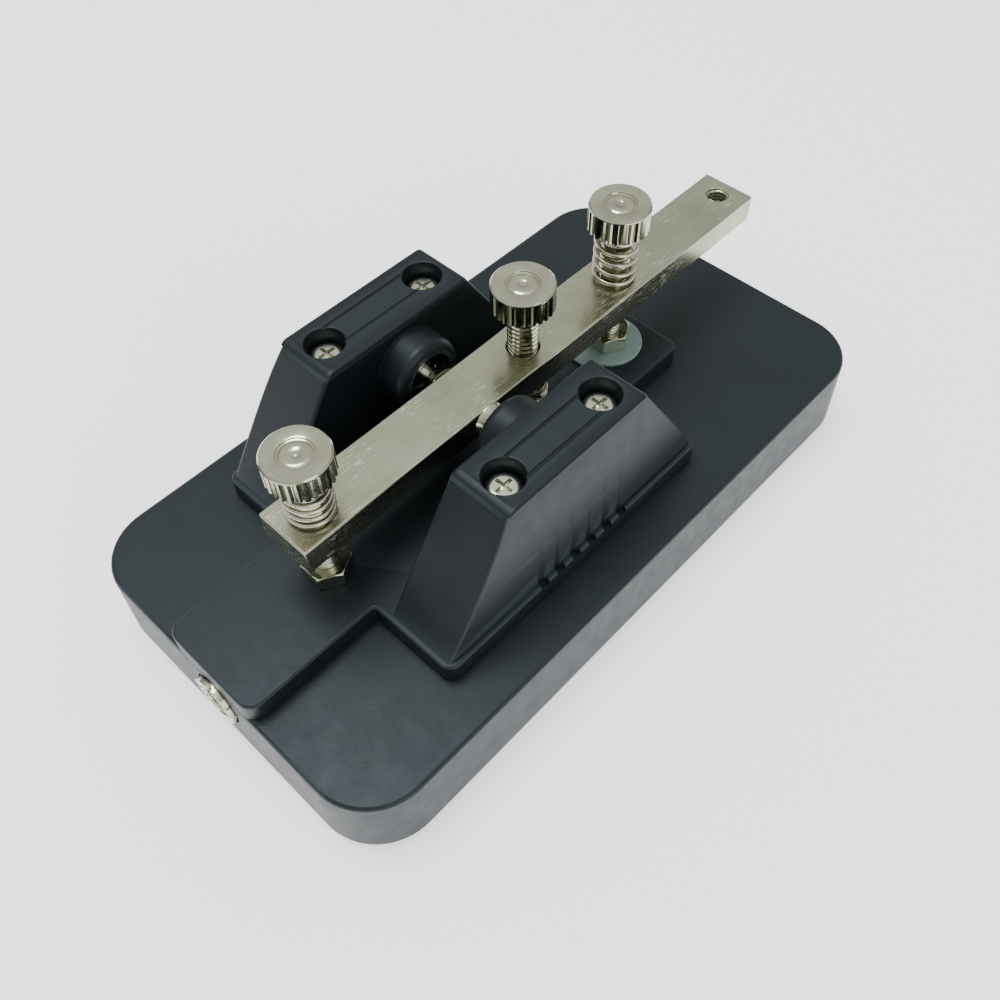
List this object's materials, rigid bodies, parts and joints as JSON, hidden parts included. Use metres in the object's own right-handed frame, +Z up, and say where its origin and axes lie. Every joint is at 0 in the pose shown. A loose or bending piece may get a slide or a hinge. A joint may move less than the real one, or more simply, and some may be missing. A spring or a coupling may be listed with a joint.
{
  "type": "straight morse key",
  "caption": "Straight morse key on a low plastic base: a nickel-plated lever between two bearing pillars, with adjusting screws, springs and contacts, and a socket in the end wall.",
  "frame": {"origin": "middle of the base's footprint, on the surface that the rubber feet stand on", "axes": "+Z up, +Y from the knob end to the socket end, +X to the right when seen from the knob end"},
  "size_m": [0.054, 0.0994, 0.0392],
  "materials": {
    "black_abs": "satin black moulded ABS",
    "painted_plate": "black powder-coated steel sheet",
    "zinc_steel": "bright zinc-plated steel",
    "foot_rubber": "matt black rubber",
    "bearing_steel": "ground bearing steel",
    "dull_zinc": "dull grey-green passivated zinc",
    "nickel_plate": "bright nickel plate on turned steel",
    "lever_nickel": "satin nickel plate with fine lengthwise marks",
    "lug_brass": "turned and pressed brass",
    "spring_steel": "nickel-plated spring wire",
    "jack_plastic": "black moulded plastic",
    "red_insulation": "red PVC insulation",
    "black_insulation": "black PVC insulation"
  },
  "bodies": {
    "base": {"base_shell": "black_abs", "bottom_plate": "painted_plate", "plate_screws": "zinc_steel", "rubber_feet": "foot_rubber", "left_pillar": "black_abs", "right_pillar": "black_abs", "pillar_screws": "zinc_steel", "bearing_outer_rings": "bearing_steel", "bearing_shields": "bearing_steel", "bearing_balls": "bearing_steel", "contact_bolt": "zinc_steel", "contact_washer": "dull_zinc", "contact_nut": "nickel_plate", "contact_lug": "lug_brass", "stop_bolt": "zinc_steel", "stop_washer": "zinc_steel", "stop_nut": "nickel_plate", "spring_seat": "lug_brass", "seat_screw": "zinc_steel", "seat_lug": "lug_brass", "tension_spring": "spring_steel", "jack_body": "jack_plastic", "jack_bush": "nickel_plate", "jack_ring_nut": "nickel_plate", "jack_tags": "lug_brass", "contact_wire": "red_insulation", "seat_wire": "black_insulation"},
    "lever": {"lever_bar": "lever_nickel", "pivot_axle": "bearing_steel", "axle_spacers": "nickel_plate", "bearing_inner_rings": "bearing_steel"},
    "gap_spring": {"gap_lock_spring": "spring_steel"},
    "gap_thumb": {"gap_screw": "nickel_plate"},
    "contact_spring": {"contact_lock_spring": "spring_steel"},
    "contact_thumb": {"contact_screw": "nickel_plate"},
    "spring_cap": {"tension_cap": "nickel_plate"},
    "tension_thumb": {"tension_screw": "nickel_plate"}
  },
  "joints": [
    {"name": "lever_pivot", "type": "hinge", "parent": "base", "child": "lever", "pos_m": [0, 0.0064, 0.0256], "axis": [1, 0, 0], "range_deg": [0, 1.2], "stiffness_Nm_per_rad": 0.5, "springref_deg": -5.73, "deforming": ["tension_spring"]},
    {"name": "gap_travel", "type": "slide", "parent": "lever", "child": "gap_spring", "axis": [0, 0, 1], "range_m": [0, 0.0014], "deforming": ["gap_lock_spring"]},
    {"name": "gap_turn", "type": "hinge", "parent": "gap_spring", "child": "gap_thumb", "pos_m": [0, 0.0306, 0.03], "axis": [0, 0, 1], "range_deg": [0, 720]},
    {"name": "contact_travel", "type": "slide", "parent": "lever", "child": "contact_spring", "axis": [0, 0, 1], "range_m": [0, 0.0014], "deforming": ["contact_lock_spring"]},
    {"name": "contact_turn", "type": "hinge", "parent": "contact_spring", "child": "contact_thumb", "pos_m": [0, -0.0218, 0.03], "axis": [0, 0, 1], "range_deg": [0, 720]},
    {"name": "tension_travel", "type": "slide", "parent": "lever", "child": "spring_cap", "axis": [0, 0, 1], "range_m": [-0.0007, 0.0014]},
    {"name": "tension_turn", "type": "hinge", "parent": "spring_cap", "child": "tension_thumb", "pos_m": [0, -0.004, 0.03], "axis": [0, 0, 1], "range_deg": [-360, 720]}
  ],
  "couplings": [
    {"joint": "gap_turn", "follows": "gap_travel", "rad_per_m": 8975},
    {"joint": "contact_turn", "follows": "contact_travel", "rad_per_m": 8975},
    {"joint": "tension_turn", "follows": "tension_travel", "rad_per_m": 8975}
  ]
}
